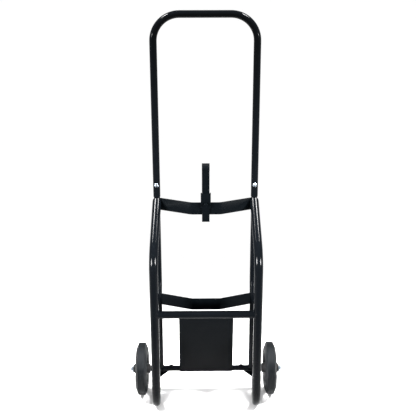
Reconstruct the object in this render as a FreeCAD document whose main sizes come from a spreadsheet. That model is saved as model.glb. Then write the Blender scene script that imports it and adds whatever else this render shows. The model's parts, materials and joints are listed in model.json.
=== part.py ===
import FreeCAD, Part
import math
import os
from FreeCAD import Placement, Rotation, Vector

# Two-wheeled tubular hand truck, in millimetres.
# X runs along the axle, -Y is the loading side, +Z is up.
# The origin is on the floor, below the middle of the whole truck.

doc = FreeCAD.newDocument("hand_truck")
sheet = doc.addObject("Spreadsheet::Sheet", "Sizes")

SIZES = [
    # handle and uprights
    ("upright_spacing", 354.0, "centre to centre of the two uprights"),
    ("handle_top", 1471.0, "centre line of the grip bar above the floor"),
    ("handle_end", 818.0, "lower ends of the handle tube"),
    ("handle_corner", 90.0, "bend radius of the handle at its centre line"),
    ("handle_outer", 25.4, "handle tube outside diameter"),
    ("handle_wall", 1.5, "handle tube wall"),
    ("telescope_gap", 0.08, "radial clearance of the upright inside the handle"),
    ("upright_wall", 1.6, "upright tube wall"),
    ("upright_in_handle", 95.0, "length of the upright inside the handle"),
    ("upright_set_back", 22.0, "upper part of the upright behind the axle"),
    ("joggle_rise", 19.0, "set-back bend above the lower strap's edge"),
    ("joggle_length", 70.0, "height of the set-back bend"),
    ("joggle_radius", 60.0, "bend radius of the set-back"),
    # side loops
    ("loop_outer", 31.75, "side loop tube outside diameter"),
    ("loop_wall", 1.6, "side loop tube wall"),
    ("loop_reach", 154.0, "front leg ahead of the axle"),
    ("loop_knee_height", 650.0, "corner of the knee above the floor"),
    ("knee_spread", 9.0, "loop outside the upright at the knee"),
    ("foot_spread", 12.0, "front leg outside the upright at the floor"),
    ("rear_spread", 19.0, "rear leg outside the upright"),
    ("loop_knee_radius", 130.0, "bend radius of the knee"),
    ("foot_flat", 1.0, "straight stretch between the two bends of the foot"),
    ("loop_joint_drop", 14.0, "loop end below the handle end, at the upright"),
    ("loop_cap_wall", 2.5, "thickness of the rear leg's cap"),
    ("loop_cap_plug", 9.0, "depth of the cap inside the leg"),
    # cross members
    ("crossbar_height", 427.0, "centre of the crossbar above the floor"),
    ("crossbar_outer", 28.0, "crossbar outside diameter"),
    ("crossbar_wall", 1.6, "crossbar wall"),
    ("strap_height", 46.0, "height of both straps"),
    ("strap_thick", 4.0, "thickness of both straps"),
    ("strap_flat", 104.0, "flat middle stretch of both straps"),
    ("upper_strap_drop", 50.0, "upper strap's lower edge below the handle end"),
    ("upper_strap_bow", 52.0, "how far the upper strap bows forward"),
    ("upper_strap_bend", 45.0, "bend radius of the upper strap"),
    ("lower_strap_low", 389.0, "lower edge of the lower strap"),
    ("lower_strap_bow", 46.5, "how far the lower strap bows forward"),
    ("lower_strap_bend", 10.0, "bend radius of the lower strap"),
    ("beam_outer", 22.2, "axle beam outside diameter"),
    ("gusset_width", 35.0, "gusset along the beam"),
    ("gusset_height", 28.0, "gusset down the rear leg"),
    ("gusset_thick", 4.0, "gusset thickness"),
    ("plate_top_width", 197.0, "kick plate width at the crossbar"),
    ("plate_low_width", 208.0, "kick plate width at the beam"),
    ("plate_thick", 2.5, "kick plate thickness"),
    ("plate_tail", 4.0, "kick plate past its line of contact on the beam"),
    # axle and wheels
    ("wheel_diameter", 203.2, "tyre outside diameter"),
    ("tyre_width", 44.5, "tyre width"),
    ("tread_flat", 26.0, "flat of the tread"),
    ("tread_shoulder", 21.0, "height of the bevelled shoulder"),
    ("tyre_depth", 30.6, "tyre from the tread down to the rim"),
    ("tyre_edge", 2.5, "rounding of the tread's edges"),
    ("rim_width", 38.0, "rim width"),
    ("rim_wall", 5.0, "rim wall"),
    ("web_thick", 5.0, "disc between the rim and the hub"),
    ("hub_diameter", 37.0, "hub outside diameter"),
    ("hub_length", 67.0, "hub length"),
    ("wheel_fillet", 3.0, "fillets of the moulded wheel"),
    ("wheel_edge", 1.0, "rounded edges of the moulded wheel"),
    ("rib_root", 2.0, "ribs sunk in the hub and the rim"),
    ("rib_count", 8.0, "ribs on each wheel"),
    ("rib_thick", 4.0, "rib thickness"),
    ("rib_depth", 26.0, "ribs along the axle"),
    ("axle_diameter", 15.9, "axle rod diameter"),
    ("axle_tail", 9.1, "axle past the outer washer"),
    ("axle_beam_gap", 0.1, "radial clearance of the axle in the beam"),
    ("bush_gap", 0.08, "radial running clearance of the axle in a bush"),
    ("bush_wall", 2.5, "bush wall"),
    ("bush_length", 16.0, "bush inside the hub"),
    ("bush_flange", 2.0, "bush flange thickness"),
    ("bush_flange_diameter", 28.0, "bush flange diameter"),
    ("end_float", 0.4, "gap beside each spacer and washer on the axle"),
    ("washer_diameter", 34.0, "outer washer diameter"),
    ("washer_thick", 2.0, "outer washer thickness"),
    ("spacer_wall", 2.5, "inner spacer wall"),
    ("spacer_show", 4.2, "inner spacer between the rear leg and the wheel"),
    ("pin_wire", 1.9, "cotter pin wire diameter"),
    ("pin_gap", 0.15, "clearance of the pin in its hole and between its legs"),
    ("pin_inset", 5.0, "cotter pin hole from the end of the axle"),
    ("pin_leg", 15.0, "bent legs of the cotter pin"),
    ("pin_eye", 2.8, "eye radius of the cotter pin"),
    # fasteners
    ("bolt_rise", 47.0, "handle bolts above the handle's end"),
    ("bolt_diameter", 8.0, "handle bolt shank"),
    ("bolt_head", 16.0, "handle bolt head diameter"),
    ("bolt_dome", 4.5, "handle bolt head height"),
    ("bolt_gap", 0.2, "radial clearance of the bolt holes"),
    ("nut_flats", 13.0, "handle nut across flats"),
    ("nut_height", 6.5, "handle nut height"),
    ("bolt_tail", 3.0, "thread past the nut"),
    ("screw_inset", 40.0, "axle set screws inside the uprights"),
    ("screw_head", 20.0, "set screw head diameter"),
    ("screw_dome", 5.0, "set screw head height"),
    # hook
    ("hook_width", 27.0, "hook bar width"),
    ("hook_thick", 6.0, "hook bar thickness"),
    ("hook_drop", 26.0, "hook bar below the upper strap"),
    ("hook_length", 224.0, "height of the hook bar"),
    ("hook_reach", 42.0, "hook nose ahead of the bar"),
    ("hook_lip", 12.0, "down-turned lip of the hook"),
    ("hook_bend", 8.0, "bend radius of the hook"),
    ("keeper_rise", 29.0, "keeper above the upper strap's lower edge"),
    ("keeper_height", 55.0, "keeper height"),
    ("keeper_round", 3.0, "rounded corners of the keeper"),
    ("keeper_bore_round", 0.4, "inner corners of the keeper"),
    ("keeper_wall", 4.0, "keeper wall"),
    ("keeper_gap", 0.5, "clearance of the hook bar in the keeper"),
    ("clamp_rise", 15.0, "clamp bolt above the keeper's lower edge"),
    ("clamp_head", 13.0, "clamp bolt across flats"),
    ("clamp_head_height", 5.5, "clamp bolt head height"),
    ("clamp_reach", 6.0, "clamp bolt outside the keeper"),
]
for row, (alias, number, note) in enumerate(SIZES, start=1):
    sheet.set(f"A{row}", alias)
    sheet.set(f"B{row}", str(number))
    sheet.set(f"C{row}", note)
    sheet.setAlias(f"B{row}", alias)
doc.recompute()


def size(alias):
    return float(sheet.get(alias))


nodes = []


def finish(label, shape_object):
    """Register a finished sub-part under its own label."""
    shape_object.Label = label
    nodes.append(shape_object)
    return shape_object


def bind(item, **sizes):
    """Bind properties to expressions; cells are written as Sizes.alias."""
    for name, expression in sizes.items():
        item.setExpression(name.replace("__", "."), expression)
    return item


def cylinder(name, radius, length, place, axis="Z"):
    """A cylinder whose radius, length and place are expressions."""
    item = doc.addObject("Part::Cylinder", name)
    turn = {"Z": Rotation(), "X": Rotation(Vector(0, 1, 0), 90), "Y": Rotation(Vector(1, 0, 0), 90)}
    item.Placement = Placement(Vector(), turn[axis])
    bind(item, Radius=radius, Height=length, Placement__Base__x=place[0],
         Placement__Base__y=place[1], Placement__Base__z=place[2])
    return item


def box(name, lengths, place):
    item = doc.addObject("Part::Box", name)
    bind(item, Length=lengths[0], Width=lengths[1], Height=lengths[2], Placement__Base__x=place[0],
         Placement__Base__y=place[1], Placement__Base__z=place[2])
    return item


def cut(name, base, *tools):
    for number, tool in enumerate(tools):
        last = number == len(tools) - 1
        step = doc.addObject("Part::Cut", name if last else f"{name}_step{number}")
        step.Base = base
        step.Tool = tool
        base = step
    return base


def fuse(name, *pieces):
    item = doc.addObject("Part::MultiFuse", name)
    item.Shapes = list(pieces)
    return item


def common(name, first, second):
    item = doc.addObject("Part::Common", name)
    item.Base = first
    item.Tool = second
    return item


def mirrored(name, source):
    """The same piece on the other side of the centre plane."""
    item = doc.addObject("Part::Mirroring", name)
    item.Source = source
    item.Normal = Vector(1, 0, 0)
    return item


def group(name, *pieces):
    item = doc.addObject("Part::Compound", name)
    item.Links = list(pieces)
    return item


def rounded(points, radii):
    """Edges along straight runs with a tangent arc at each inner point."""
    edges = []
    start = points[0]
    for number in range(1, len(points) - 1):
        corner = points[number]
        back = (points[number - 1] - corner).normalize()
        ahead = (points[number + 1] - corner).normalize()
        half = back.getAngle(ahead) / 2
        reach = radii[number - 1] / math.tan(half)
        middle = (back + ahead).normalize()
        centre = corner + middle * (radii[number - 1] / math.sin(half))
        first = corner + back * reach
        second = corner + ahead * reach
        if first.distanceToPoint(start) > 0.001:
            edges.append(Part.LineSegment(start, first))
        edges.append(Part.Arc(first, centre - middle * radii[number - 1], second))
        start = second
    if points[-1].distanceToPoint(start) > 0.001:
        edges.append(Part.LineSegment(start, points[-1]))
    return edges


def swept(name, path, radius):
    """A round bar along a bent path, its radius an expression."""
    spine = doc.addObject("Part::Feature", f"{name}_path")
    spine.Shape = Part.Wire([edge.toShape() for edge in path])
    first = path[0].toShape()
    direction = first.tangentAt(first.FirstParameter)
    circle = doc.addObject("Part::Circle", f"{name}_section")
    circle.Placement = Placement(first.valueAt(first.FirstParameter), Rotation(Vector(0, 0, 1), direction))
    bind(circle, Radius=radius)
    item = doc.addObject("Part::Sweep", name)
    item.Sections = [circle]
    item.Spine = (spine, [f"Edge{number + 1}" for number in range(len(path))])
    item.Solid = True
    item.Transition = "Right corner"
    return item


def plane_of(body, role):
    return [item for item in body.Origin.OriginFeatures if item.Role == role][0]


def padded_body(name, role, edges, length):
    """A body padded both ways from an outline on one of its origin planes."""
    body = doc.addObject("PartDesign::Body", name)
    sketch = body.newObject("Sketcher::SketchObject", f"{name}_outline")
    sketch.AttachmentSupport = (plane_of(body, role), [""])
    sketch.MapMode = "FlatFace"
    for edge in edges:
        sketch.addGeometry(edge, False)
    pad = body.newObject("PartDesign::Pad", f"{name}_pad")
    pad.Profile = sketch
    pad.SideType = "Symmetric"
    bind(pad, Length=length)
    return body


def turned_body(name, edges):
    """A body turned about the X axis from an outline in the XZ plane."""
    body = doc.addObject("PartDesign::Body", name)
    sketch = body.newObject("Sketcher::SketchObject", f"{name}_outline")
    sketch.AttachmentSupport = (plane_of(body, "XZ_Plane"), [""])
    sketch.MapMode = "FlatFace"
    for edge in edges:
        sketch.addGeometry(edge, False)
    turn = body.newObject("PartDesign::Revolution", f"{name}_turn")
    turn.Profile = sketch
    turn.ReferenceAxis = (sketch, ["H_Axis"])
    turn.Angle = 360
    return body


def closed(points, radii=None):
    """Closed outline in a sketch plane, with a radius at each point."""
    radii = radii or [0] * len(points)
    flat = [Vector(x, y, 0) for x, y in points]
    edges = []
    ends = []
    for number, corner in enumerate(flat):
        back = (flat[number - 1] - corner).normalize()
        ahead = (flat[(number + 1) % len(flat)] - corner).normalize()
        if radii[number] <= 0:
            ends.append((corner, corner, None))
            continue
        half = back.getAngle(ahead) / 2
        reach = radii[number] / math.tan(half)
        middle = (back + ahead).normalize()
        centre = corner + middle * (radii[number] / math.sin(half))
        first = corner + back * reach
        second = corner + ahead * reach
        ends.append((first, second, Part.Arc(first, centre - middle * radii[number], second)))
    for number, (first, second, arc) in enumerate(ends):
        if arc:
            edges.append(arc)
        following = ends[(number + 1) % len(ends)][0]
        if following.distanceToPoint(second) > 0.001:
            edges.append(Part.LineSegment(second, following))
    return edges


def band(points, radius, thick):
    """Outline of a flat bar bent along points, seen on its edge."""
    flat = [Vector(x, y, 0) for x, y in points]
    sides = []
    for sign in (1, -1):
        line = []
        radii = []
        for number, point in enumerate(flat):
            before = flat[number] - flat[max(number - 1, 0)]
            after = flat[min(number + 1, len(flat) - 1)] - flat[number]
            before = before if before.Length else after
            after = after if after.Length else before
            left_before = Vector(-before.y, before.x, 0).normalize()
            left_after = Vector(-after.y, after.x, 0).normalize()
            middle = (left_before + left_after).normalize()
            stretch = thick / 2 / middle.dot(left_before)
            line.append(point + middle * (sign * stretch))
            turn = before.cross(after).z
            radii.append(radius - sign * math.copysign(thick / 2, turn) if abs(turn) > 1e-9 else 0)
        sides.append((line, radii))
    (left, left_radii), (right, right_radii) = sides
    points = [(v.x, v.y) for v in left] + [(v.x, v.y) for v in reversed(right)]
    return closed(points, left_radii + right_radii[::-1])


# ---------------------------------------------------------------- shared places
# the truck reaches from the front legs to the back of the wheels, and the origin is midway
AXLE_Y = "(Sizes.loop_reach + Sizes.loop_outer / 2 - Sizes.wheel_diameter / 2) / 2"
AXLE_Z = "Sizes.wheel_diameter / 2"
UPPER_Y = f"{AXLE_Y} + Sizes.upright_set_back"
LEG_Y = f"{AXLE_Y} - Sizes.loop_reach"
KNEE_X = "(Sizes.upright_spacing / 2 + Sizes.knee_spread)"
REAR_X = "(Sizes.upright_spacing / 2 + Sizes.rear_spread)"
WHEEL_X = (f"({REAR_X} + Sizes.loop_outer / 2 + Sizes.spacer_show + Sizes.end_float"
           " + Sizes.hub_length / 2)")
AXLE_HALF = (f"({WHEEL_X} + Sizes.hub_length / 2 + Sizes.end_float + Sizes.washer_thick"
             " + Sizes.axle_tail)")
UPPER_STRAP_LOW = "(Sizes.handle_end - Sizes.upper_strap_drop)"
BOLT_Z = "Sizes.handle_end + Sizes.bolt_rise"
KEEPER_LOW = f"({UPPER_STRAP_LOW} + Sizes.keeper_rise)"
CLAMP_Z = f"{KEEPER_LOW} + Sizes.clamp_rise"
BOLT_X = "-Sizes.upright_spacing / 2"
SCREW_X = "-(Sizes.upright_spacing / 2 - Sizes.screw_inset)"
AXLE_BORE = "Sizes.axle_diameter / 2 + Sizes.axle_beam_gap"

places = doc.addObject("Part::Vertex", "Places")
place_values = {}


def worked_out(expression):
    """The value in millimetres of an expression on the sheet."""
    if expression not in place_values:
        bind(places, X=expression)
        doc.recompute()
        place_values[expression] = places.X.Value
    return place_values[expression]


# ---------------------------------------------------------------- uprights
axle_height = size("wheel_diameter") / 2
axle_y = worked_out(AXLE_Y)
upright_x = size("upright_spacing") / 2
upright_y = worked_out(UPPER_Y)
handle_bore = size("handle_outer") / 2 - size("handle_wall")
upright_radius = handle_bore - size("telescope_gap")
UPRIGHT_OUT = "Sizes.handle_outer / 2 - Sizes.handle_wall - Sizes.telescope_gap"

upright_top = size("handle_end") + size("upright_in_handle")
joggle_low = size("lower_strap_low") + size("joggle_rise")
joggle_high = joggle_low + size("joggle_length")
upright_line = [Vector(-upright_x, axle_y, axle_height), Vector(-upright_x, axle_y, joggle_low),
                Vector(-upright_x, upright_y, joggle_high), Vector(-upright_x, upright_y, upright_top)]
upright_path = rounded(upright_line, [size("joggle_radius")] * 2)
upright_core = swept("upright_core", upright_path, UPRIGHT_OUT)
upright_bore = swept("upright_bore", upright_path, f"{UPRIGHT_OUT} - Sizes.upright_wall")
upright_core_right = mirrored("upright_core_right", upright_core)

# ---------------------------------------------------------------- handle
handle_end = size("handle_end")
handle_top = size("handle_top")
handle_line = [Vector(-upright_x, upright_y, handle_end), Vector(-upright_x, upright_y, handle_top),
               Vector(upright_x, upright_y, handle_top), Vector(upright_x, upright_y, handle_end)]
handle_path = rounded(handle_line, [size("handle_corner")] * 2)
handle_core = swept("handle_core", handle_path, "Sizes.handle_outer / 2")
handle_inside = swept("handle_inside", handle_path, "Sizes.handle_outer / 2 - Sizes.handle_wall")

BOLT_HOLE = "Sizes.bolt_diameter / 2 + Sizes.bolt_gap"
bolt_hole_left = cylinder("bolt_hole_left", BOLT_HOLE, "Sizes.handle_outer * 2",
                          (BOLT_X, f"{UPPER_Y} + Sizes.handle_outer", BOLT_Z), "Y")
bolt_hole_right = mirrored("bolt_hole_right", bolt_hole_left)
finish("handle_tube", cut("handle", handle_core, handle_inside, bolt_hole_left, bolt_hole_right))

# ---------------------------------------------------------------- side loops
loop_radius = size("loop_outer") / 2
leg_y = worked_out(LEG_Y)
foot_radius = (size("loop_reach") - size("foot_flat")) / 2
knee_x = worked_out(KNEE_X)
foot_x = upright_x + size("foot_spread")
rear_x = worked_out(REAR_X)
beam_radius = size("beam_outer") / 2
rear_top = axle_height + beam_radius
joint_height = handle_end - size("loop_joint_drop")
loop_line = [Vector(-upright_x, upright_y, joint_height), Vector(-knee_x, leg_y, size("loop_knee_height")),
             Vector(-foot_x, leg_y, loop_radius), Vector(-rear_x, axle_y, loop_radius),
             Vector(-rear_x, axle_y, rear_top)]
loop_path = rounded(loop_line, [size("loop_knee_radius"), foot_radius, foot_radius])
loop_core = swept("loop_core", loop_path, "Sizes.loop_outer / 2")
loop_bore = swept("loop_bore", loop_path, "Sizes.loop_outer / 2 - Sizes.loop_wall")
loop_trim = box("loop_trim", ("Sizes.loop_outer * 2", "Sizes.loop_outer * 2", "Sizes.loop_outer * 4"),
                ("-Sizes.upright_spacing / 2 - Sizes.loop_outer",
                 f"{UPPER_Y} - Sizes.handle_outer / 4",
                 "Sizes.handle_end - Sizes.loop_outer * 3"))
axle_bore_left = cylinder("axle_bore_left", AXLE_BORE,
                          "Sizes.loop_outer * 2",
                          (f"-{REAR_X} - Sizes.loop_outer", AXLE_Y, AXLE_Z), "X")
left_loop = cut("loop_left", loop_core, loop_bore, loop_trim, upright_core, axle_bore_left)
finish("left_side_loop", left_loop)
finish("right_side_loop", mirrored("loop_right", left_loop))

cap_top = cylinder("cap_top", "Sizes.loop_outer / 2", "Sizes.loop_cap_wall",
                   (f"-{REAR_X}", AXLE_Y, f"{AXLE_Z} + Sizes.beam_outer / 2"))
cap_plug = cylinder("cap_plug", "Sizes.loop_outer / 2 - Sizes.loop_wall", "Sizes.loop_cap_plug",
                    (f"-{REAR_X}", AXLE_Y,
                     f"{AXLE_Z} + Sizes.beam_outer / 2 - Sizes.loop_cap_plug"))
cap_clear = cylinder("cap_clear", AXLE_BORE, "Sizes.loop_outer * 2",
                     (f"-{REAR_X} - Sizes.loop_outer", AXLE_Y, AXLE_Z), "X")
left_cap = cut("cap_left", fuse("cap_solid", cap_top, cap_plug), cap_clear, upright_core)
finish("leg_caps", group("leg_cap_pair", left_cap, mirrored("cap_right", left_cap)))

# ---------------------------------------------------------------- axle beam and uprights
beam_core = cylinder("beam_core", "Sizes.beam_outer / 2", f"2 * {REAR_X}",
                     (f"-{REAR_X}", AXLE_Y, AXLE_Z), "X")
beam_bore = cylinder("beam_bore", AXLE_BORE,
                     f"4 * {REAR_X}", (f"-2 * {REAR_X}", AXLE_Y, AXLE_Z), "X")
loop_core_right = mirrored("loop_core_right", loop_core)
screw_hole = cylinder("screw_hole", "Sizes.bolt_diameter / 2", "Sizes.beam_outer",
                      (SCREW_X, AXLE_Y, AXLE_Z))
beam = cut("beam", beam_core, beam_bore, loop_core, loop_core_right, screw_hole,
           mirrored("screw_hole_right", screw_hole))
finish("axle_beam", beam)

rear_leg_core = cylinder("rear_leg_core", "Sizes.loop_outer / 2",
                         f"{AXLE_Z} + Sizes.beam_outer / 2 + Sizes.loop_cap_wall",
                         (f"-{REAR_X}", AXLE_Y, "0"))
left_upright = cut("upright_left", upright_core, upright_bore, beam_core, rear_leg_core, bolt_hole_left)
finish("left_upright", left_upright)
finish("right_upright", mirrored("upright_right", left_upright))

# ---------------------------------------------------------------- crossbar and straps
crossbar_core = cylinder("crossbar_core", "Sizes.crossbar_outer / 2", f"2 * {KNEE_X}",
                         (f"-{KNEE_X}", LEG_Y, "Sizes.crossbar_height"), "X")
crossbar_bore = cylinder("crossbar_bore", "Sizes.crossbar_outer / 2 - Sizes.crossbar_wall",
                         f"4 * {KNEE_X}", (f"-2 * {KNEE_X}", LEG_Y, "Sizes.crossbar_height"), "X")
finish("crossbar", cut("crossbar_tube", crossbar_core, crossbar_bore, loop_core, loop_core_right))


def strap(name, base_y, bow, bend, low):
    """A flat bar between the uprights, bowed forward in the middle."""
    flat = size("strap_flat") / 2
    front = base_y - size(bow)
    line = [(-upright_x, base_y), (-flat, front), (flat, front), (upright_x, base_y)]
    body = padded_body(f"{name}_body", "XY_Plane", band(line, size(bend), size("strap_thick")),
                       "Sizes.strap_height")
    bind(body, Placement__Base__z=f"{low} + Sizes.strap_height / 2")
    cores = (upright_core, upright_core_right, loop_core, loop_core_right)
    return finish(name, cut(f"{name}_cut", body, *cores))


strap("upper_strap", upright_y, "upper_strap_bow", "upper_strap_bend", UPPER_STRAP_LOW)
strap("lower_strap", axle_y, "lower_strap_bow", "lower_strap_bend", "Sizes.lower_strap_low")

# ---------------------------------------------------------------- gussets and kick plate
gusset_out = rear_x - loop_radius / 2
gusset_in = rear_x - loop_radius - size("gusset_width")
gusset_bottom = axle_height - beam_radius - size("gusset_height")
gusset_points = [(-gusset_out, axle_height - beam_radius / 2), (-gusset_in, axle_height - beam_radius / 2),
                 (-gusset_in, axle_height - beam_radius), (-(rear_x - loop_radius), gusset_bottom),
                 (-gusset_out, gusset_bottom)]
gusset_body = padded_body("gusset_body", "XZ_Plane", closed(gusset_points), "Sizes.gusset_thick")
bind(gusset_body, Placement__Base__y=AXLE_Y)
left_gusset = cut("gusset_left", gusset_body, beam_core, loop_core)
finish("left_gusset", left_gusset)
finish("right_gusset", mirrored("gusset_right", left_gusset))

run_y = size("loop_reach")
run_z = size("crossbar_height") - axle_height
span = math.hypot(run_y, run_z)
offset = beam_radius + size("plate_thick") / 2
plate_tilt = math.atan2(run_y, run_z) - math.asin(offset / span)
plate_line = math.sqrt(span ** 2 - offset ** 2)
plate_end = -(plate_line + size("plate_tail"))
plate_corner = 2 * size("plate_thick")
plate_points = [(-size("plate_top_width") / 2, 0), (size("plate_top_width") / 2, 0),
                (size("plate_low_width") / 2, plate_end), (-size("plate_low_width") / 2, plate_end)]
plate_outline = closed(plate_points, [0, 0, plate_corner, plate_corner])
plate_body = padded_body("plate_body", "XZ_Plane", plate_outline, "Sizes.plate_thick")
plate_body.Placement = Placement(Vector(0, leg_y, size("crossbar_height")),
                                 Rotation(Vector(1, 0, 0), math.degrees(plate_tilt)))
finish("kick_plate", cut("plate", plate_body, crossbar_core, beam_core))

# ---------------------------------------------------------------- axle
axle_rod = cylinder("axle_rod", "Sizes.axle_diameter / 2", f"2 * {AXLE_HALF}",
                    (f"-{AXLE_HALF}", AXLE_Y, AXLE_Z), "X")
pin_hole = cylinder("pin_hole_left", "Sizes.pin_wire + 2 * Sizes.pin_gap", "Sizes.axle_diameter * 2",
                    (f"-{AXLE_HALF} + Sizes.pin_inset", AXLE_Y, f"{AXLE_Z} - Sizes.axle_diameter"))
axle_cut = cut("axle_cut", axle_rod, pin_hole, mirrored("pin_hole_right", pin_hole))
finish("axle", axle_cut)

screw_shank = cylinder("screw_shank", "Sizes.bolt_diameter / 2",
                       f"Sizes.beam_outer / 2 - ({AXLE_BORE})",
                       (SCREW_X, AXLE_Y,
                        f"{AXLE_Z} + Sizes.axle_diameter / 2 + Sizes.axle_beam_gap"))


def dome(name, head_radius, head_height):
    """A domed bolt head on its flat seat, standing along +Z."""
    sphere_radius = (head_radius ** 2 + head_height ** 2) / (2 * head_height)
    ball = doc.addObject("Part::Sphere", f"{name}_ball")
    ball.Radius = sphere_radius
    ball.Placement = Placement(Vector(0, 0, head_height - sphere_radius), Rotation())
    room = doc.addObject("Part::Cylinder", f"{name}_room")
    room.Radius = sphere_radius
    room.Height = sphere_radius * 2
    return common(f"{name}_dome", ball, room)


screw_dome = dome("screw", size("screw_head") / 2, size("screw_dome"))
screw_dome.Placement = Placement(Vector(worked_out(SCREW_X), axle_y, rear_top), Rotation())
left_screw = fuse("screw_left", screw_shank, screw_dome)
finish("axle_set_screws", group("set_screw_pair", left_screw, mirrored("screw_right", left_screw)))

# ---------------------------------------------------------------- wheels
half_tyre = size("tyre_width") / 2
outer = size("wheel_diameter") / 2
rim = outer - size("tyre_depth")
half_rim = size("rim_width") / 2
half_flat = size("tread_flat") / 2
shoulder = outer - size("tread_shoulder")
tyre_points = [(-half_rim, rim), (-half_tyre, rim + size("rim_wall")), (-half_tyre, shoulder),
               (-half_flat, outer), (half_flat, outer), (half_tyre, shoulder),
               (half_tyre, rim + size("rim_wall")), (half_rim, rim)]
tyre_edge = size("tyre_edge")
tyre_radii = [0] + [tyre_edge / 2] + [tyre_edge] * 4 + [tyre_edge / 2] + [0]

bush_out = size("axle_diameter") / 2 + size("bush_gap") + size("bush_wall")
hub = size("hub_diameter") / 2
half_hub = size("hub_length") / 2 - size("bush_flange")
half_web = size("web_thick") / 2
rim_inner = rim - size("rim_wall")
draft = size("rib_root")
fillet = size("wheel_fillet")
edge = size("wheel_edge")
wheel_points = [(-half_hub, bush_out), (-half_hub, hub), (-half_web, hub + draft),
                (-half_web, rim_inner - draft), (-half_rim, rim_inner), (-half_rim, rim),
                (half_rim, rim), (half_rim, rim_inner), (half_web, rim_inner - draft),
                (half_web, hub + draft), (half_hub, hub), (half_hub, bush_out)]
wheel_radii = [0, edge, fillet, fillet, edge, 0, 0, edge, fillet, fillet, edge, 0]


def ribbed_wheel(name):
    """Moulded wheel: rim, disc and hub turned in one, with ribs."""
    body = turned_body(name, closed(wheel_points, wheel_radii))
    sketch = body.newObject("Sketcher::SketchObject", f"{name}_rib_outline")
    sketch.AttachmentSupport = (plane_of(body, "XZ_Plane"), [""])
    sketch.MapMode = "FlatFace"
    half_depth = size("rib_depth") / 2
    root = size("rib_root")
    rib = [(-half_depth, hub - root), (-half_depth, rim_inner + root),
           (half_depth, rim_inner + root), (half_depth, hub - root)]
    for edge in closed(rib):
        sketch.addGeometry(edge, False)
    pad = body.newObject("PartDesign::Pad", f"{name}_rib")
    pad.Profile = sketch
    pad.SideType = "Symmetric"
    bind(pad, Length="Sizes.rib_thick")
    doc.recompute()
    ribs = body.newObject("PartDesign::PolarPattern", f"{name}_ribs")
    ribs.Originals = [pad]
    ribs.Axis = (plane_of(body, "X_Axis"), [""])
    ribs.Angle = 360
    bind(ribs, Occurrences="Sizes.rib_count")
    body.Tip = ribs
    return body


def bush(name, side):
    """Flanged plastic bush pressed into one end of the hub."""
    bore = size("axle_diameter") / 2 + size("bush_gap")
    inner_end = half_hub - size("bush_length")
    outer_end = half_hub + size("bush_flange")
    flange = size("bush_flange_diameter") / 2
    points = [(side * inner_end, bore), (side * outer_end, bore), (side * outer_end, flange),
              (side * half_hub, flange), (side * half_hub, bush_out), (side * inner_end, bush_out)]
    return turned_body(name, closed(points))


for side_name, side in (("left", -1), ("right", 1)):
    centre = f"{side} * {WHEEL_X}"
    tyre = turned_body(f"{side_name}_tyre_body", closed(tyre_points, tyre_radii))
    wheel = ribbed_wheel(f"{side_name}_wheel_body")
    inner_bush = bush(f"{side_name}_inner_bush", -side)
    outer_bush = bush(f"{side_name}_outer_bush", side)
    for piece in (tyre, wheel, inner_bush, outer_bush):
        bind(piece, Placement__Base__x=centre, Placement__Base__y=AXLE_Y, Placement__Base__z=AXLE_Z)
    finish(f"{side_name}_tyre", tyre)
    finish(f"{side_name}_wheel_hub", wheel)
    finish(f"{side_name}_hub_bushes", group(f"{side_name}_bush_pair", inner_bush, outer_bush))

# ---------------------------------------------------------------- spacers, washers and pins
RING_BORE = "Sizes.axle_diameter / 2 + Sizes.bush_gap"
SPACER_START = f"-{WHEEL_X} + Sizes.hub_length / 2 + Sizes.end_float"
spacer_core = cylinder("spacer_core", f"{RING_BORE} + Sizes.spacer_wall",
                       "Sizes.spacer_show + Sizes.loop_outer / 4",
                       (SPACER_START, AXLE_Y, AXLE_Z), "X")
WASHER_START = f"-{WHEEL_X} - Sizes.hub_length / 2 - Sizes.end_float - Sizes.washer_thick"
washer_core = cylinder("washer_core", "Sizes.washer_diameter / 2", "Sizes.washer_thick",
                       (WASHER_START, AXLE_Y, AXLE_Z), "X")
ring_bore = cylinder("ring_bore", RING_BORE, AXLE_HALF,
                     (f"-{AXLE_HALF} - Sizes.washer_diameter", AXLE_Y, AXLE_Z), "X")
left_spacer = cut("spacer_left", spacer_core, ring_bore, loop_core, rear_leg_core)
left_washer = cut("washer_left", washer_core, ring_bore)
finish("inner_spacers", group("spacer_pair", left_spacer, mirrored("spacer_right", left_spacer)))
finish("outer_washers", group("washer_pair", left_washer, mirrored("washer_right", left_washer)))

pin_x = size("pin_inset") - worked_out(AXLE_HALF)
wire = size("pin_wire")
leg_x = (wire + size("pin_gap")) / 2
axle_top = axle_height + size("axle_diameter") / 2
axle_low = axle_height - size("axle_diameter") / 2
eye = size("pin_eye")
pin_leg = size("pin_leg")
pin_low = axle_low - wire
outer_leg = Vector(-0.8 * pin_leg, 0, 0.5 * pin_leg)
inner_leg = Vector(0.08 * pin_leg, 0, pin_leg)
pin_rows = [(-leg_x, axle_top + wire), (-leg_x, pin_low), (-eye, pin_low - eye), (-eye, pin_low - 3 * eye),
            (eye, pin_low - 3 * eye), (eye, pin_low - eye), (leg_x, pin_low), (leg_x, axle_top + wire)]
pin_line = [Vector(pin_x + x, axle_y, z) for x, z in pin_rows]
pin_line = [pin_line[0] + outer_leg] + pin_line + [pin_line[-1] + inner_leg]
pin_radii = [wire, wire, wire, eye * 0.9, eye * 0.9, wire, wire, wire]
left_pin = swept("pin_left", rounded(pin_line, pin_radii), "Sizes.pin_wire / 2")
finish("cotter_pins", group("pin_pair", left_pin, mirrored("pin_right", left_pin)))

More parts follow.
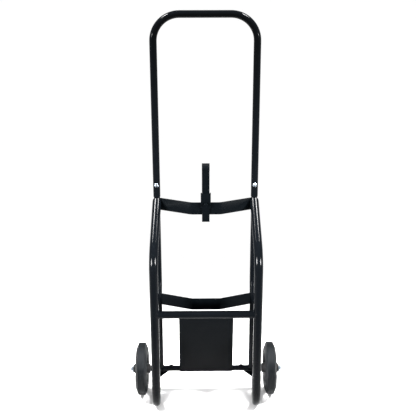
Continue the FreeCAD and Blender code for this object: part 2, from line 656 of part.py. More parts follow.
# ---------------------------------------------------------------- handle bolts
handle_front = upright_y - size("handle_outer") / 2
handle_back = upright_y + size("handle_outer") / 2
bolt_height = handle_end + size("bolt_rise")
bolt_dome = dome("bolt", size("bolt_head") / 2, size("bolt_dome"))
bolt_dome.Placement = Placement(Vector(-upright_x, handle_front, bolt_height),
                                Rotation(Vector(1, 0, 0), 90))
bolt_shank = cylinder("bolt_shank", "Sizes.bolt_diameter / 2",
                      "Sizes.handle_outer + Sizes.nut_height + Sizes.bolt_tail",
                      (BOLT_X, f"{UPPER_Y} + Sizes.handle_outer / 2 + Sizes.nut_height"
                       " + Sizes.bolt_tail", BOLT_Z), "Y")
left_bolt = fuse("bolt_left", bolt_dome, bolt_shank)
finish("handle_bolts", group("bolt_pair", left_bolt, mirrored("bolt_right", left_bolt)))


def hexagon(flats):
    radius = flats / 2 / math.cos(math.pi / 6)
    return [(radius * math.cos(n * math.pi / 3), radius * math.sin(n * math.pi / 3)) for n in range(6)]


nut_body = padded_body("nut_body", "XZ_Plane", closed(hexagon(size("nut_flats"))), "Sizes.nut_height")
nut_body.Placement = Placement(Vector(-upright_x, handle_back + size("nut_height") / 2, bolt_height),
                               Rotation())
left_nut = cut("nut_left", nut_body, bolt_shank)
finish("handle_nuts", group("nut_pair", left_nut, mirrored("nut_right", left_nut)))

# ---------------------------------------------------------------- hook
strap_front = upright_y - size("upper_strap_bow") - size("strap_thick") / 2
gap = size("keeper_gap")
hook_y = strap_front - gap - size("hook_thick") / 2
hook_low = worked_out(UPPER_STRAP_LOW) - size("hook_drop")
top_line = hook_low + size("hook_length") - size("hook_thick") / 2
hook_points = [(hook_y, hook_low), (hook_y, top_line), (hook_y - size("hook_reach"), top_line),
               (hook_y - size("hook_reach"), top_line - size("hook_lip"))]
hook_body = padded_body("hook_body", "YZ_Plane", band(hook_points, size("hook_bend"), size("hook_thick")),
                        "Sizes.hook_width")
finish("hook_bar", hook_body)

keeper_half = size("hook_width") / 2 + gap
keeper_wall = size("keeper_wall")
keeper_front = hook_y - size("hook_thick") / 2 - gap
keeper_out = keeper_half + keeper_wall
keeper_points = [(-keeper_out, strap_front), (-keeper_out, keeper_front - keeper_wall),
                 (keeper_out, keeper_front - keeper_wall), (keeper_out, strap_front),
                 (keeper_half, strap_front), (keeper_half, keeper_front),
                 (-keeper_half, keeper_front), (-keeper_half, strap_front)]
corner = size("keeper_round")
bore_corner = size("keeper_bore_round")
keeper_radii = [0, corner, corner, 0, 0, bore_corner, bore_corner, 0]
keeper_body = padded_body("keeper_body", "XY_Plane", closed(keeper_points, keeper_radii),
                          "Sizes.keeper_height")
bind(keeper_body, Placement__Base__z=f"{KEEPER_LOW} + Sizes.keeper_height / 2")
STRAP_FRONT = f"{UPPER_Y} - Sizes.upper_strap_bow - Sizes.strap_thick / 2"
BAR_FRONT = f"{STRAP_FRONT} - Sizes.keeper_gap - Sizes.hook_thick"
CLAMP_TIP = f"{BAR_FRONT} - Sizes.keeper_gap / 2"
clamp_hole = cylinder("clamp_hole", "Sizes.bolt_diameter / 2", "Sizes.hook_reach",
                      ("0", CLAMP_TIP, CLAMP_Z), "Y")
finish("hook_keeper", cut("keeper", keeper_body, clamp_hole))

clamp_shank = cylinder("clamp_shank", "Sizes.bolt_diameter / 2",
                       "Sizes.keeper_gap / 2 + Sizes.keeper_wall + Sizes.clamp_reach",
                       ("0", CLAMP_TIP, CLAMP_Z), "Y")
clamp_outline = closed(hexagon(size("clamp_head")))
clamp_head = padded_body("clamp_head", "XZ_Plane", clamp_outline, "Sizes.clamp_head_height")
bind(clamp_head, Placement__Base__z=CLAMP_Z,
     Placement__Base__y=f"{CLAMP_TIP} - Sizes.keeper_gap / 2 - Sizes.keeper_wall - Sizes.clamp_reach")
finish("hook_clamp_bolt", fuse("clamp_bolt", clamp_shank, clamp_head))

# ---------------------------------------------------------------- checks and files
doc.recompute()
for item in doc.Objects:
    if "Invalid" in item.State or "Error" in item.State:
        raise RuntimeError(f"{item.Name} ({item.Label}) failed: {item.State}")
os.makedirs("parts", exist_ok=True)
for node in nodes:
    if node.Shape.isNull() or not node.Shape.isValid() or node.Shape.Volume <= 0:
        raise RuntimeError(f"{node.Label} has no valid shape")
for node in nodes:
    node.Shape.exportStep(f"parts/{node.Label}.step")
    print(f"{node.Label}: {len(node.Shape.Solids)} solid(s), {node.Shape.Volume / 1000:.1f} cm3")
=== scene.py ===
import json
import math

import bpy
from mathutils import Matrix, Vector

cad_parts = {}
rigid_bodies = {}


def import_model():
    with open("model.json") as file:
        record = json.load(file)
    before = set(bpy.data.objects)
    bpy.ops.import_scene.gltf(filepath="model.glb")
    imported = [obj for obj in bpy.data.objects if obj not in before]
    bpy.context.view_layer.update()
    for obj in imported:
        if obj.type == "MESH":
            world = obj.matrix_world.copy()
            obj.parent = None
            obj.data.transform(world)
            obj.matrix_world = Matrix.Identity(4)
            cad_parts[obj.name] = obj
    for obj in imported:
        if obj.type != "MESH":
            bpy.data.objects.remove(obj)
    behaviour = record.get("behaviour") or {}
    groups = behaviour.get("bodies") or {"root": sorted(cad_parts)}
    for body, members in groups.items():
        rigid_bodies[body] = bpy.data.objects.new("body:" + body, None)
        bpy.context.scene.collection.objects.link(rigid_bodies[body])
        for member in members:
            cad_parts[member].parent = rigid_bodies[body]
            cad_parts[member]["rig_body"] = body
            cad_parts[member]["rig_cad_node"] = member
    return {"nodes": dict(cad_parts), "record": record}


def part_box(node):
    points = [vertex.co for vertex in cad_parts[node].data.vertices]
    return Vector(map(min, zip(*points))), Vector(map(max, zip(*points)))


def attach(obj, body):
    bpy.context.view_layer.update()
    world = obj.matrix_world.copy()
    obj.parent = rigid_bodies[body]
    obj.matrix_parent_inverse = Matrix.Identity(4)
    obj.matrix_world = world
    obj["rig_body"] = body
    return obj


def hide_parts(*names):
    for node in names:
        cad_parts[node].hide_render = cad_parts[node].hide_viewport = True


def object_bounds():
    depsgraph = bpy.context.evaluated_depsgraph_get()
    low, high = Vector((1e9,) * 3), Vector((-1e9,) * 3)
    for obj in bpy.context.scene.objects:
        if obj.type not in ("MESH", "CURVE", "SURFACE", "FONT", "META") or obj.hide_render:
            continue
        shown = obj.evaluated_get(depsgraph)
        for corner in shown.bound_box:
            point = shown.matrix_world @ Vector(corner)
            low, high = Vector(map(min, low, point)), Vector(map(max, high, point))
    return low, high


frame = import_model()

bl_info = {
    "name": "Two-Wheeled Hand Truck",
    "version": (1, 0, 0),
    "blender": (4, 5, 0),
    "location": "3D View > Sidebar > Hand Truck",
    "description": "Finishes the hand truck: painted tubes, eased flat steel, tyres, wheels, welds and fasteners",
    "category": "Object",
}

CAD_NODES = frame["nodes"]
CAD_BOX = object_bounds()

ROUNDING_STEPS = 3
STEEL_CORNER, MOULDED_CORNER, TYRE_CORNER = (math.radians(angle) for angle in (28, 40, 16))
STEEL_SMOOTH, TYRE_SMOOTH = math.radians(35), math.radians(40)
TYRE_ROUNDING = 0.0012
TYRE_STEPS = 144
TREAD_STEPS = 8
TREAD_FLAT, SHOULDER_HEIGHT, TREAD_CROWN = 0.585, 0.94, 0.02    # shares of half the tyre's width
BEAD_LEAST, BEAD_SWELL = 0.92, 0.16    # a bead's half width between and on its ripples
TORUS_TUBE = 0.1
STRAP_WELD_IN, STRAP_WELD_SHORT = 0.002, 0.003
FLOOR_GAP = 0.0005


# ---------------------------------------------------------------- settings
class TruckSizes(bpy.types.PropertyGroup):
    """Sizes that the Blender pieces add to the frame's own."""
    steel_edge: bpy.props.FloatProperty(
        name="Flat steel edge", description="Rounding of the flat bars' edges", default=0.0007, unit="LENGTH")
    plastic_edge: bpy.props.FloatProperty(
        name="Moulded edge", description="Rounding of the moulded wheel's edges", default=0.0006, unit="LENGTH")
    hardware_edge: bpy.props.FloatProperty(
        name="Hardware edge", description="Rounding of washers, nuts and heads", default=0.0004, unit="LENGTH")
    bead: bpy.props.FloatProperty(
        name="Weld bead", description="Half width of a weld bead", default=0.0023, unit="LENGTH")
    ripple: bpy.props.FloatProperty(
        name="Weld ripple", description="Distance between two ripples of a bead", default=0.0042, unit="LENGTH")
    groove: bpy.props.FloatProperty(
        name="Tyre groove", description="Depth of the moulding lines in the tyre", default=0.0008, unit="LENGTH")


class TruckColours(bpy.types.PropertyGroup):
    """Colours of the finishes."""
    gloss_black: bpy.props.FloatVectorProperty(
        name="Gloss paint", description="Powder coat of the tubes", subtype="COLOR", size=4,
        default=(0.0008, 0.0011, 0.0015, 1))
    satin_black: bpy.props.FloatVectorProperty(
        name="Satin paint", description="Powder coat of the flat steel", subtype="COLOR", size=4,
        default=(0.0006, 0.0009, 0.0012, 1))
    rubber: bpy.props.FloatVectorProperty(
        name="Rubber", description="Tyre rubber", subtype="COLOR", size=4, default=(0.0016, 0.0024, 0.0032, 1))
    dust: bpy.props.FloatVectorProperty(
        name="Dust", description="Dust in the rubber's grain", subtype="COLOR", size=4,
        default=(0.0040, 0.0048, 0.0056, 1))
    moulding: bpy.props.FloatVectorProperty(
        name="Moulded plastic", description="Wheel and bush plastic", subtype="COLOR", size=4,
        default=(0.006, 0.006, 0.0065, 1))
    zinc: bpy.props.FloatVectorProperty(
        name="Zinc", description="Bright zinc plate", subtype="COLOR", size=4, default=(0.15, 0.17, 0.19, 1))


def sizes():
    return bpy.context.scene.truck_sizes


def colours():
    return bpy.context.scene.truck_colours


# ---------------------------------------------------------------- node groups
def new_group(name, outputs):
    tree = bpy.data.node_groups.new(name, "ShaderNodeTree")
    for label, kind in outputs:
        tree.interface.new_socket(name=label, in_out="OUTPUT", socket_type=kind)
    return tree


def noise(tree, place, scale, detail=3.0, roughness=0.55):
    node = tree.nodes.new("ShaderNodeTexNoise")
    node.inputs["Scale"].default_value = scale
    node.inputs["Detail"].default_value = detail
    node.inputs["Roughness"].default_value = roughness
    tree.links.new(place, node.inputs["Vector"])
    return node


def object_place(tree, stretch=(1, 1, 1)):
    """Object coordinates, stretched along an axis."""
    coordinates = tree.nodes.new("ShaderNodeTexCoord")
    mapping = tree.nodes.new("ShaderNodeMapping")
    mapping.inputs["Scale"].default_value = stretch
    tree.links.new(coordinates.outputs["Object"], mapping.inputs["Vector"])
    return mapping.outputs["Vector"]


def ramp(tree, value, stops):
    """A smooth step; stops are its from and to ranges."""
    node = tree.nodes.new("ShaderNodeMapRange")
    node.interpolation_type = "SMOOTHSTEP"
    for socket, number in zip(("From Min", "From Max", "To Min", "To Max"), stops):
        node.inputs[socket].default_value = number
    tree.links.new(value, node.inputs["Value"])
    return node.outputs["Result"]


def blend(tree, factor, first, second, kind="FLOAT"):
    """A mix of two values or colours, each of them a socket or a constant."""
    node = tree.nodes.new("ShaderNodeMix")
    node.data_type = kind
    offset = {"FLOAT": 2, "RGBA": 6}[kind]
    for number, value in ((0, factor), (offset, first), (offset + 1, second)):
        if isinstance(value, bpy.types.NodeSocket):
            tree.links.new(value, node.inputs[number])
        else:
            node.inputs[number].default_value = value
    return node.outputs[{"FLOAT": 0, "RGBA": 2}[kind]]


def sum_of(tree, first, second, weight):
    """The first value plus the second one times the weight."""
    node = tree.nodes.new("ShaderNodeMath")
    node.operation = "MULTIPLY_ADD"
    tree.links.new(second, node.inputs[0])
    node.inputs[1].default_value = weight
    tree.links.new(first, node.inputs[2])
    return node.outputs[0]


def powder_coat_group():
    """Orange peel, faint handling marks and a little dust on powder coat."""
    tree = new_group("Powder coat", [("Marks", "NodeSocketFloat"), ("Dust", "NodeSocketFloat"),
                                     ("Height", "NodeSocketFloat")])
    place = object_place(tree)
    peel = noise(tree, place, 420, 2, 0.5)
    cloud = noise(tree, place, 9, 4, 0.6)
    along = object_place(tree, (60, 60, 4))
    streaks = noise(tree, along, 6, 5, 0.65)
    specks = noise(tree, place, 260, 4, 0.7)
    marks = ramp(tree, streaks.outputs["Fac"], (0.56, 0.74, 0.0, 1.0))
    dust = ramp(tree, sum_of(tree, specks.outputs["Fac"], cloud.outputs["Fac"], 0.5), (0.78, 1.1, 0.0, 1.0))
    height = sum_of(tree, peel.outputs["Fac"], marks, -0.25)
    output = tree.nodes.new("NodeGroupOutput")
    tree.links.new(marks, output.inputs["Marks"])
    tree.links.new(dust, output.inputs["Dust"])
    tree.links.new(height, output.inputs["Height"])
    return tree


def moulded_skin_group():
    """Grain, flow clouds and scuffs of moulded rubber and plastic."""
    tree = new_group("Moulded skin", [("Clouds", "NodeSocketFloat"), ("Scuffs", "NodeSocketFloat"),
                                      ("Height", "NodeSocketFloat")])
    place = object_place(tree)
    grain = noise(tree, place, 900, 3, 0.6)
    cloud = noise(tree, place, 38, 5, 0.62)
    scuff = noise(tree, object_place(tree, (22, 2.5, 2.5)), 16, 4, 0.6)
    clouds = ramp(tree, cloud.outputs["Fac"], (0.36, 0.68, 0.0, 1.0))
    scuffs = ramp(tree, scuff.outputs["Fac"], (0.52, 0.7, 0.0, 1.0))
    height = sum_of(tree, grain.outputs["Fac"], cloud.outputs["Fac"], 0.5)
    output = tree.nodes.new("NodeGroupOutput")
    tree.links.new(clouds, output.inputs["Clouds"])
    tree.links.new(scuffs, output.inputs["Scuffs"])
    tree.links.new(height, output.inputs["Height"])
    return tree


def plated_metal_group():
    """Fine grain and dull spots of zinc plate."""
    tree = new_group("Plated metal", [("Spots", "NodeSocketFloat"), ("Grain", "NodeSocketFloat")])
    place = object_place(tree)
    spots = noise(tree, place, 150, 4, 0.6)
    grain = noise(tree, object_place(tree, (4, 1, 1)), 700, 3, 0.6)
    output = tree.nodes.new("NodeGroupOutput")
    tree.links.new(ramp(tree, spots.outputs["Fac"], (0.4, 0.7, 0.0, 1.0)), output.inputs["Spots"])
    tree.links.new(grain.outputs["Fac"], output.inputs["Grain"])
    return tree


# ---------------------------------------------------------------- finishes
def new_finish(name, group_name):
    finish = bpy.data.materials.new(name)
    finish.use_nodes = True
    tree = finish.node_tree
    shader = tree.nodes["Principled BSDF"]
    group = tree.nodes.new("ShaderNodeGroup")
    group.node_tree = bpy.data.node_groups[group_name]
    return finish, tree, shader, group


def add_bump(tree, shader, height, distance):
    bump = tree.nodes.new("ShaderNodeBump")
    bump.inputs["Distance"].default_value = distance
    bump.inputs["Strength"].default_value = 1.0
    tree.links.new(height, bump.inputs["Height"])
    tree.links.new(bump.outputs["Normal"], shader.inputs["Normal"])


def paint_finish(name, colour, smooth, rough, peel, shine):
    finish, tree, shader, group = new_finish(name, "Powder coat")
    dusty = [channel * 1.8 + 0.0012 for channel in colour[:3]] + [1]
    tree.links.new(blend(tree, group.outputs["Dust"], list(colour), dusty, "RGBA"), shader.inputs["Base Color"])
    worn = blend(tree, group.outputs["Marks"], smooth, rough)
    tree.links.new(blend(tree, group.outputs["Dust"], worn, rough + 0.08), shader.inputs["Roughness"])
    shader.inputs["Specular IOR Level"].default_value = shine
    add_bump(tree, shader, group.outputs["Height"], peel)
    return finish


def moulded_finish(name, colour, dusty, smooth, rough, grain, shine):
    finish, tree, shader, group = new_finish(name, "Moulded skin")
    shader.inputs["Specular IOR Level"].default_value = shine
    clouded = blend(tree, group.outputs["Clouds"], list(colour), list(dusty), "RGBA")
    scuffed = [channel * 1.5 for channel in dusty[:3]] + [1]
    tree.links.new(blend(tree, group.outputs["Scuffs"], clouded, scuffed, "RGBA"), shader.inputs["Base Color"])
    tree.links.new(blend(tree, group.outputs["Clouds"], smooth, rough), shader.inputs["Roughness"])
    add_bump(tree, shader, group.outputs["Height"], grain)
    return finish


def zinc_finish(name, colour):
    finish, tree, shader, group = new_finish(name, "Plated metal")
    dull = [colour[0] * 0.72, colour[1] * 0.74, colour[2] * 0.8, 1]
    tree.links.new(blend(tree, group.outputs["Spots"], list(colour), dull, "RGBA"), shader.inputs["Base Color"])
    tree.links.new(blend(tree, group.outputs["Spots"], 0.30, 0.42), shader.inputs["Roughness"])
    shader.inputs["Metallic"].default_value = 1.0
    add_bump(tree, shader, group.outputs["Grain"], 0.00003)
    return finish


def slot_finish(slot):
    return bpy.data.materials[f"{slot}_finish"]


def node_slot(node):
    return next(row["material_slot"] for row in frame["record"]["subparts"] if row["node"] == node)


def node_body(node):
    return next(body for body, nodes in frame["record"]["behaviour"]["bodies"].items() if node in nodes)


class TRUCK_OT_finishes(bpy.types.Operator):
    """Make the finishes and give each kept frame node its own"""
    bl_idname = "truck.finishes"
    bl_label = "Finishes"

    def execute(self, context):
        powder_coat_group()
        moulded_skin_group()
        plated_metal_group()
        paint = colours()
        paint_finish("gloss_black_finish", paint.gloss_black, smooth=0.10, rough=0.16, peel=0.0000015, shine=0.04)
        paint_finish("satin_black_finish", paint.satin_black, smooth=0.36, rough=0.48, peel=0.000010, shine=0.012)
        moulded_finish("tyre_rubber_finish", paint.rubber, paint.dust,
                       smooth=0.50, rough=0.74, grain=0.00006, shine=0.09)
        dusty = [channel * 1.8 for channel in paint.moulding[:3]] + [1]
        moulded_finish("hub_plastic_finish", paint.moulding, dusty, smooth=0.38, rough=0.55, grain=0.00005, shine=0.2)
        moulded_finish("bush_plastic_finish", paint.moulding, dusty, smooth=0.30, rough=0.42, grain=0.00003, shine=0.3)
        zinc_finish("zinc_finish", paint.zinc)
        for name, node in CAD_NODES.items():
            node.data.materials.clear()
            node.data.materials.append(slot_finish(node_slot(name)))
        return {"FINISHED"}


# ---------------------------------------------------------------- modelling helpers
def deselect_all():
    if bpy.context.object and bpy.context.object.mode != "OBJECT":
        bpy.ops.object.mode_set(mode="OBJECT")
    bpy.ops.object.select_all(action="DESELECT")


def activate(piece):
    deselect_all()
    piece.select_set(True)
    bpy.context.view_layer.objects.active = piece


def finish_piece(piece, name, body, slot, replaced=()):
    """Name a piece, put its place in its mesh, and give it its body and finish."""
    activate(piece)
    bpy.ops.object.transform_apply(location=True, rotation=True, scale=True)
    piece.name = name
    piece.data.name = name
    piece.data.materials.clear()
    piece.data.materials.append(slot_finish(slot))
    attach(piece, body)
    if replaced:
        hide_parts(*replaced)
    return piece


def round_edges(piece, width, corner, smooth):
    """Round the edges that are sharper than the corner angle."""
    activate(piece)
    rounding = piece.modifiers.new("Eased edges", "BEVEL")
    rounding.width = width
    rounding.segments = ROUNDING_STEPS
    rounding.limit_method = "ANGLE"
    rounding.angle_limit = corner
    bpy.ops.object.modifier_apply(modifier=rounding.name)
    bpy.ops.object.shade_smooth_by_angle(angle=smooth)


def eased_copy(node, edge, corner=STEEL_CORNER):
    """A copy of a frame node whose sharp edges are rounded."""
    piece = CAD_NODES[node].copy()
    piece.data = CAD_NODES[node].data.copy()
    piece.parent = None
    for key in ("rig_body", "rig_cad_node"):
        if key in piece:
            del piece[key]
    bpy.context.scene.collection.objects.link(piece)
    activate(piece)
    bpy.ops.object.mode_set(mode="EDIT")
    bpy.ops.mesh.select_all(action="SELECT")
    bpy.ops.mesh.remove_doubles(threshold=0.00001)
    bpy.ops.mesh.dissolve_limited(angle_limit=math.radians(0.5))
    bpy.ops.mesh.customdata_custom_splitnormals_clear()
    bpy.ops.object.mode_set(mode="OBJECT")
    round_edges(piece, edge, corner, STEEL_SMOOTH)
    return finish_piece(piece, f"{node}_eased", node_body(node), node_slot(node), (node,))


def join_pieces(pieces):
    activate(pieces[0])
    for piece in pieces:
        piece.select_set(True)
    bpy.ops.object.join()
    return bpy.context.view_layer.objects.active


def node_span(node):
    low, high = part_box(node)
    return Vector(low), Vector(high)


# ---------------------------------------------------------------- flat steel and hardware
class TRUCK_OT_flat_steel(bpy.types.Operator):
    """Ease the edges of the flat bars, the plate, the gussets and the hook"""
    bl_idname = "truck.flat_steel"
    bl_label = "Flat steel"

    def execute(self, context):
        for node in ("upper_strap", "lower_strap", "kick_plate", "left_gusset", "right_gusset",
                     "hook_bar", "hook_keeper"):
            eased_copy(node, sizes().steel_edge)
        return {"FINISHED"}


class TRUCK_OT_hardware(bpy.types.Operator):
    """Ease the edges of the washers, nuts, bolts, spacers and the axle"""
    bl_idname = "truck.hardware"
    bl_label = "Hardware"

    def execute(self, context):
        for node in ("outer_washers", "inner_spacers", "handle_nuts", "hook_clamp_bolt", "axle"):
            eased_copy(node, sizes().hardware_edge)
        return {"FINISHED"}


# ---------------------------------------------------------------- tyres and wheels
def spun_piece(points, middle, steps):
    """A ring about the X axis, spun from its outline of (along, radius) points."""
    deselect_all()
    bpy.ops.mesh.primitive_plane_add(size=0.01, location=(0, 0, 0))
    piece = bpy.context.object
    bpy.ops.object.mode_set(mode="EDIT")
    bpy.ops.mesh.select_all(action="SELECT")
    bpy.ops.mesh.merge(type="CENTER")
    bpy.ops.transform.translate(value=(points[0][0], 0, points[0][1]))
    here = Vector((points[0][0], 0, points[0][1]))
    for along, radius in points[1:]:
        step = Vector((along, 0, radius)) - here
        bpy.ops.mesh.extrude_vertices_move(TRANSFORM_OT_translate={"value": step})
        here += step
    bpy.ops.mesh.select_all(action="SELECT")
    bpy.ops.mesh.remove_doubles(threshold=0.000001)
    bpy.ops.mesh.select_all(action="SELECT")
    bpy.ops.mesh.spin(steps=steps, angle=math.tau, center=(0, 0, 0), axis=(1, 0, 0))
    bpy.ops.mesh.select_all(action="SELECT")
    bpy.ops.mesh.remove_doubles(threshold=0.00001)
    bpy.ops.mesh.normals_make_consistent(inside=False)
    bpy.ops.object.mode_set(mode="OBJECT")
    piece.location = middle
    return piece


def tyre_outline(half_width, outer, inner, groove):
    """A slightly crowned tread, bevelled shoulders and a moulding line on each wall."""
    flat = half_width * TREAD_FLAT
    wall = half_width
    shoulder = outer - half_width * SHOULDER_HEIGHT
    height = shoulder - inner
    crown = half_width * TREAD_CROWN
    right = []
    for part in range(TREAD_STEPS + 1):
        along = flat * part / TREAD_STEPS
        right.append((along, outer - crown * (along / flat) ** 2))
    right += [(wall * 0.985, shoulder),
              (wall, shoulder - height * 0.12),
              (wall, shoulder - height * 0.30),
              (wall - groove, shoulder - height * 0.38),
              (wall - groove, shoulder - height * 0.46),
              (wall, shoulder - height * 0.54),
              (wall, shoulder - height * 0.68),
              (wall * 0.97, inner + height * 0.16),
              (wall * 0.855, inner)]
    left = [(-along, radius) for along, radius in reversed(right)]
    return left[:-1] + right + [left[0]]


class TRUCK_OT_tyres(bpy.types.Operator):
    """Spin the two rubber tyres with moulding lines in their walls"""
    bl_idname = "truck.tyres"
    bl_label = "Tyres"

    def execute(self, context):
        for side in ("left", "right"):
            low, high = node_span(f"{side}_tyre")
            middle = (low + high) / 2
            rim_low, rim_high = node_span(f"{side}_wheel_hub")
            outline = tyre_outline((high.x - low.x) / 2, (high.z - low.z) / 2,
                                   (rim_high.z - rim_low.z) / 2, sizes().groove)
            tyre = spun_piece(outline, middle, TYRE_STEPS)
            round_edges(tyre, TYRE_ROUNDING, TYRE_CORNER, TYRE_SMOOTH)
            finish_piece(tyre, f"{side}_rubber_tyre", f"{side}_wheel", "tyre_rubber", (f"{side}_tyre",))
        return {"FINISHED"}


class TRUCK_OT_wheels(bpy.types.Operator):
    """Ease the edges of the moulded wheels and their bushes"""
    bl_idname = "truck.wheels"
    bl_label = "Moulded wheels"

    def execute(self, context):
        for side in ("left", "right"):
            eased_copy(f"{side}_wheel_hub", sizes().plastic_edge, MOULDED_CORNER)
            eased_copy(f"{side}_hub_bushes", sizes().hardware_edge)
        return {"FINISHED"}


# ---------------------------------------------------------------- welds
def weld_ring(centre, along, across, radii, seat):
    """A rippled bead round a tube's end, seated on the tube that it meets."""
    bead = sizes().bead
    deselect_all()
    bpy.ops.mesh.primitive_torus_add(major_radius=1, minor_radius=TORUS_TUBE, major_segments=160,
                                     minor_segments=10, location=(0, 0, 0))
    ring = bpy.context.object
    along = along.normalized()
    across = across.normalized()
    third = along.cross(across)
    ripples = round(math.tau * radii[0] / sizes().ripple)
    for vertex in ring.data.vertices:
        turn = math.atan2(vertex.co.y, vertex.co.x)
        out = (math.hypot(vertex.co.x, vertex.co.y) - 1) / TORUS_TUBE
        lift = vertex.co.z / TORUS_TUBE
        swell = bead * (BEAD_LEAST + BEAD_SWELL * abs(math.sin(turn * ripples / 2)))
        first = (radii[0] + out * swell) * math.cos(turn)
        second = (radii[1] + out * swell) * math.sin(turn)
        depth = seat(radii[0] * math.cos(turn), radii[1] * math.sin(turn))
        vertex.co = centre + across * first + third * second + along * (depth + lift * swell)
    return tidy_bead(ring)


def weld_line(start, end):
    """A straight rippled bead with rounded ends."""
    bead = sizes().bead
    run = end - start
    deselect_all()
    bpy.ops.mesh.primitive_cylinder_add(vertices=12, radius=1, depth=2, end_fill_type="NOTHING",
                                        location=(0, 0, 0))
    line = bpy.context.object
    bpy.ops.object.mode_set(mode="EDIT")
    bpy.ops.mesh.select_all(action="SELECT")
    bpy.ops.mesh.bisect(plane_co=(0, 0, 0), plane_no=(0, 0, 1))
    rings = max(10, round(run.length / sizes().ripple * 4))
    for number in range(1, rings):
        bpy.ops.mesh.select_all(action="SELECT")
        bpy.ops.mesh.bisect(plane_co=(0, 0, 2 * number / rings - 1), plane_no=(0, 0, 1))
    bpy.ops.object.mode_set(mode="OBJECT")
    turned = run.to_track_quat("Z", "Y").to_matrix()
    half = run.length / 2
    for vertex in line.data.vertices:
        place = half * vertex.co.z
        past = min(1.0, max(0.0, (abs(place) - half + bead) / bead))
        ripple = BEAD_LEAST + BEAD_SWELL * abs(math.sin(math.pi * place / sizes().ripple))
        swell = bead * math.sqrt(1 - past ** 2) * ripple
        vertex.co = turned @ Vector((vertex.co.x * swell, vertex.co.y * swell, place)) + (start + end) / 2
    return tidy_bead(line)


def tidy_bead(bead):
    """Close the bead's ends and turn its faces outwards."""
    activate(bead)
    bpy.ops.object.mode_set(mode="EDIT")
    bpy.ops.mesh.select_all(action="SELECT")
    bpy.ops.mesh.remove_doubles(threshold=0.000002)
    bpy.ops.mesh.normals_make_consistent(inside=False)
    bpy.ops.object.mode_set(mode="OBJECT")
    bpy.ops.object.shade_smooth()
    return bead


def on_tube(radius):
    """How far from a crossing tube's centre line its surface is met."""
    def depth(first, second):
        return math.sqrt(max(0.0, radius ** 2 - second ** 2))
    return depth


class TRUCK_OT_welds(bpy.types.Operator):
    """Lay the weld beads at the tubes' joints, the straps, the plate and the gussets"""
    bl_idname = "truck.welds"
    bl_label = "Weld beads"

    def execute(self, context):
        beam_low, beam_high = node_span("axle_beam")
        bar_low, bar_high = node_span("crossbar")
        cap_low, cap_high = node_span("leg_caps")
        plate_low, plate_high = node_span("kick_plate")
        foot_low, foot_high = node_span("right_upright")
        beam = (beam_low + beam_high) / 2
        bar = (bar_low + bar_high) / 2
        beam_radius = (beam_high.z - beam_low.z) / 2
        bar_radius = (bar_high.z - bar_low.z) / 2
        leg_radius = (cap_high.y - cap_low.y) / 2
        rear_leg_x = cap_high.x - leg_radius
        front_leg_x = bar_high.x + math.sqrt(leg_radius ** 2 - bar_radius ** 2)
        upright_x = (foot_low.x + foot_high.x) / 2
        upright_radius = (foot_high.x - foot_low.x) / 2
        up, right, ahead = Vector((0, 0, 1)), Vector((1, 0, 0)), Vector((0, -1, 0))
        bar_seat = bar_radius - sizes().bead * 0.35
        beads = []
        for side in (-1, 1):
            inward = right * -side
            beads.append(weld_ring(Vector((side * front_leg_x, bar.y, bar.z)), inward, up,
                                   (bar_seat, bar_seat), on_tube(leg_radius)))
            beads.append(weld_ring(Vector((side * rear_leg_x, beam.y, beam.z)), inward, up,
                                   (beam_radius, beam_radius), on_tube(leg_radius)))
            beads.append(weld_ring(Vector((side * upright_x, beam.y, beam.z)), up, right,
                                   (upright_radius, upright_radius), on_tube(beam_radius * 1.06)))
        finish_piece(join_pieces(beads), "tube_weld_beads", "frame", "gloss_black")

        beads = []
        for strap in ("upper_strap", "lower_strap"):
            low, high = node_span(strap)
            depth = high.y - STRAP_WELD_IN
            for side in (-1, 1):
                beads.append(weld_line(Vector((side * high.x, depth, low.z + STRAP_WELD_SHORT)),
                                       Vector((side * high.x, depth, high.z - STRAP_WELD_SHORT))))
        plate_width = plate_high.x - plate_low.x
        stretch = plate_width * 0.13
        for part in (-0.32, 0.0, 0.32):
            middle = part * plate_width
            for height, depth in ((bar.z - bar_radius * 0.98, bar.y + bar_radius * 0.3),
                                  (beam.z + beam_radius * 0.98, beam.y - beam_radius * 0.42)):
                beads.append(weld_line(Vector((middle - stretch / 2, depth, height)),
                                       Vector((middle + stretch / 2, depth, height))))
        for side in (-1, 1):
            low, high = node_span("right_gusset")
            for face in (low.y, high.y):
                beads.append(weld_line(Vector((side * low.x * 1.03, face, beam_low.z + 0.0005)),
                                       Vector((side * high.x * 0.97, face, beam_low.z + 0.0005))))
        finish_piece(join_pieces(beads), "flat_steel_weld_beads", "frame", "gloss_black")
        return {"FINISHED"}


# ---------------------------------------------------------------- stage
def area_light(name, place, aim, width, height, power, spread):
    """A soft rectangular light that is aimed at a point; spread is in degrees."""
    light = bpy.data.lights.new(name, "AREA")
    light.shape = "RECTANGLE"
    light.size = width
    light.size_y = height
    light.energy = power
    light.spread = math.radians(spread)
    lamp = bpy.data.objects.new(name, light)
    bpy.context.scene.collection.objects.link(lamp)
    lamp.location = place
    lamp.rotation_euler = (Vector(aim) - Vector(place)).to_track_quat("-Z", "Y").to_euler()
    return lamp


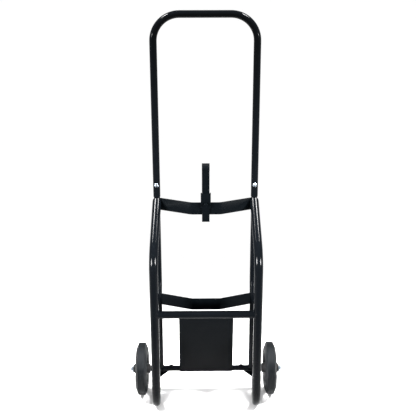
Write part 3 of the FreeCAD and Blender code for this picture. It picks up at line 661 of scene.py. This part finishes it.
class TRUCK_OT_stage(bpy.types.Operator):
    """Set the pale floor, the soft lights and the camera"""
    bl_idname = "truck.stage"
    bl_label = "Stage"

    def execute(self, context):
        scene = context.scene
        deselect_all()
        bpy.ops.mesh.primitive_plane_add(size=60, location=(0, 0, CAD_BOX[0].z - FLOOR_GAP))
        floor = context.object
        floor.name = "pale_floor"
        paper = bpy.data.materials.new("pale_floor")
        paper.use_nodes = True
        shader = paper.node_tree.nodes["Principled BSDF"]
        shader.inputs["Base Color"].default_value = (0.93, 0.93, 0.93, 1)
        shader.inputs["Roughness"].default_value = 0.8
        shader.inputs["Specular IOR Level"].default_value = 0.1
        floor.data.materials.append(paper)

        world = bpy.data.worlds.new("studio")
        world.use_nodes = True
        world.node_tree.nodes["Background"].inputs["Color"].default_value = (1, 1, 1, 1)
        world.node_tree.nodes["Background"].inputs["Strength"].default_value = 1.09
        scene.world = world

        for side in (-1, 1):
            area_light("tall_softbox", place=(side * 2.0, -1.75, 1.05), aim=(0, -0.1, 0.74),
                       width=0.9, height=0.85, power=17, spread=20)
            area_light("high_softbox", place=(side * 1.5, -0.1, 3.0), aim=(0, 0, 0.75),
                       width=0.5, height=1.0, power=15, spread=26)
        scene.view_settings.view_transform = "Standard"

        lens = bpy.data.cameras.new("studio_camera")
        lens.lens = 71.92
        lens.sensor_width = 36
        lens.clip_end = 100
        camera = bpy.data.objects.new("studio_camera", lens)
        scene.collection.objects.link(camera)
        camera.location = (-0.0203, -2.7616, 1.91)
        yaw, pitch, roll = math.radians(0.588), math.radians(22), math.radians(0.064)
        turn = (Matrix.Rotation(-yaw, 3, "Z") @ Matrix.Rotation(math.pi / 2 - pitch, 3, "X")
                @ Matrix.Rotation(-roll, 3, "Z"))
        camera.rotation_euler = turn.to_euler()
        scene.camera = camera
        return {"FINISHED"}


# ---------------------------------------------------------------- panel
OPERATORS = (TRUCK_OT_finishes, TRUCK_OT_flat_steel, TRUCK_OT_hardware, TRUCK_OT_tyres, TRUCK_OT_wheels,
             TRUCK_OT_welds, TRUCK_OT_stage)


class TRUCK_PT_panel(bpy.types.Panel):
    """Lists the sizes, the colours and the steps in order"""
    bl_idname = "TRUCK_PT_panel"
    bl_label = "Hand Truck"
    bl_space_type = "VIEW_3D"
    bl_region_type = "UI"
    bl_category = "Hand Truck"

    def draw(self, context):
        for group in (context.scene.truck_sizes, context.scene.truck_colours):
            for name in group.bl_rna.properties.keys():
                if name not in ("rna_type", "name"):
                    self.layout.prop(group, name)
        for operator in OPERATORS:
            self.layout.operator(operator.bl_idname)


CLASSES = (TruckSizes, TruckColours) + OPERATORS + (TRUCK_PT_panel,)


def register():
    for item in CLASSES:
        bpy.utils.register_class(item)
    bpy.types.Scene.truck_sizes = bpy.props.PointerProperty(type=TruckSizes)
    bpy.types.Scene.truck_colours = bpy.props.PointerProperty(type=TruckColours)


def unregister():
    del bpy.types.Scene.truck_colours
    del bpy.types.Scene.truck_sizes
    for item in reversed(CLASSES):
        bpy.utils.unregister_class(item)


def main():
    register()
    bpy.ops.truck.finishes()
    bpy.ops.truck.flat_steel()
    bpy.ops.truck.hardware()
    bpy.ops.truck.tyres()
    bpy.ops.truck.wheels()
    bpy.ops.truck.welds()
    bpy.ops.truck.stage()


if __name__ == "__main__":
    main()
